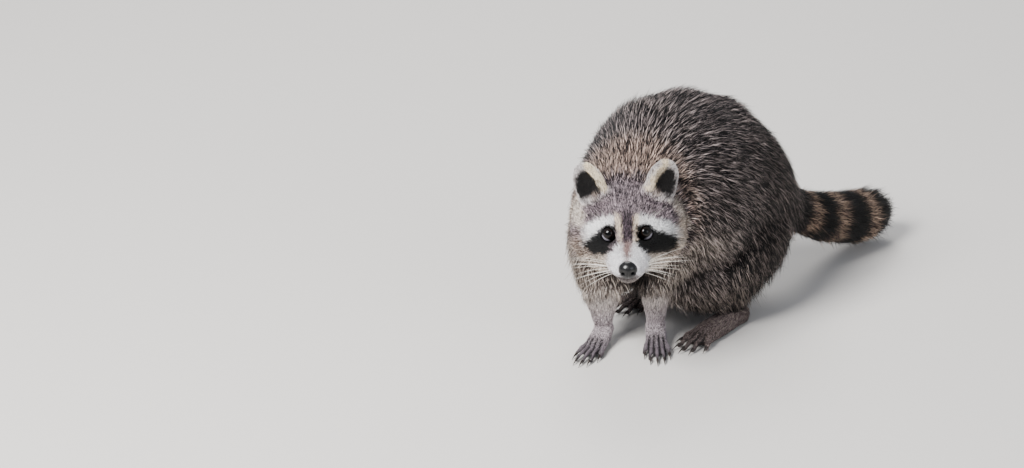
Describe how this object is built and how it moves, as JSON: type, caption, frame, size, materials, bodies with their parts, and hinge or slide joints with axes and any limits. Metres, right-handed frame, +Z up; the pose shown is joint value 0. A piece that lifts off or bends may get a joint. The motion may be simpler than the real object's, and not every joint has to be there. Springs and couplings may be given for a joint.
{
  "type": "raccoon",
  "caption": "Life-size still model of a raccoon in a low crouch, head forward, with a masked face, long-fingered forepaws and a thick ringed tail that trails on the floor.",
  "frame": {"origin": "on the floor, under the middle of the model's box", "axes": "+Z up from the floor, -Y the way the face looks, +X to the animal's left"},
  "size_m": [0.39, 0.4584, 0.2738],
  "materials": {
    "body_coat": "long grizzled fur, dark brown-black with buff bands",
    "face_coat": "short fur, white muzzle and brows, black mask, grey-brown forehead",
    "ear_coat": "very short fur, dark inside with a pale rim",
    "tail_coat": "dense fur in dark and buff rings",
    "leg_coat": "short grizzled grey-brown fur",
    "paw_skin": "dark bare skin under very short grey hair",
    "claw": "dark smooth horn",
    "nose": "moist pebbled black skin",
    "eye": "wet gloss, dark brown iris"
  },
  "bodies": {
    "root": {"head": "face_coat", "lower_jaw": "face_coat", "ear_left": "ear_coat", "ear_right": "ear_coat", "eye_left": "eye", "eye_right": "eye", "nose": "nose", "neck": "body_coat", "trunk": "body_coat", "tail": "tail_coat", "upper_arm_fore_left": "leg_coat", "upper_arm_fore_right": "leg_coat", "forearm_fore_left": "leg_coat", "forearm_fore_right": "leg_coat", "paw_fore_left": "paw_skin", "paw_fore_right": "paw_skin", "thigh_hind_left": "body_coat", "thigh_hind_right": "body_coat", "shank_hind_left": "leg_coat", "shank_hind_right": "leg_coat", "paw_hind_left": "paw_skin", "paw_hind_right": "paw_skin"}
  },
  "joints": []
}
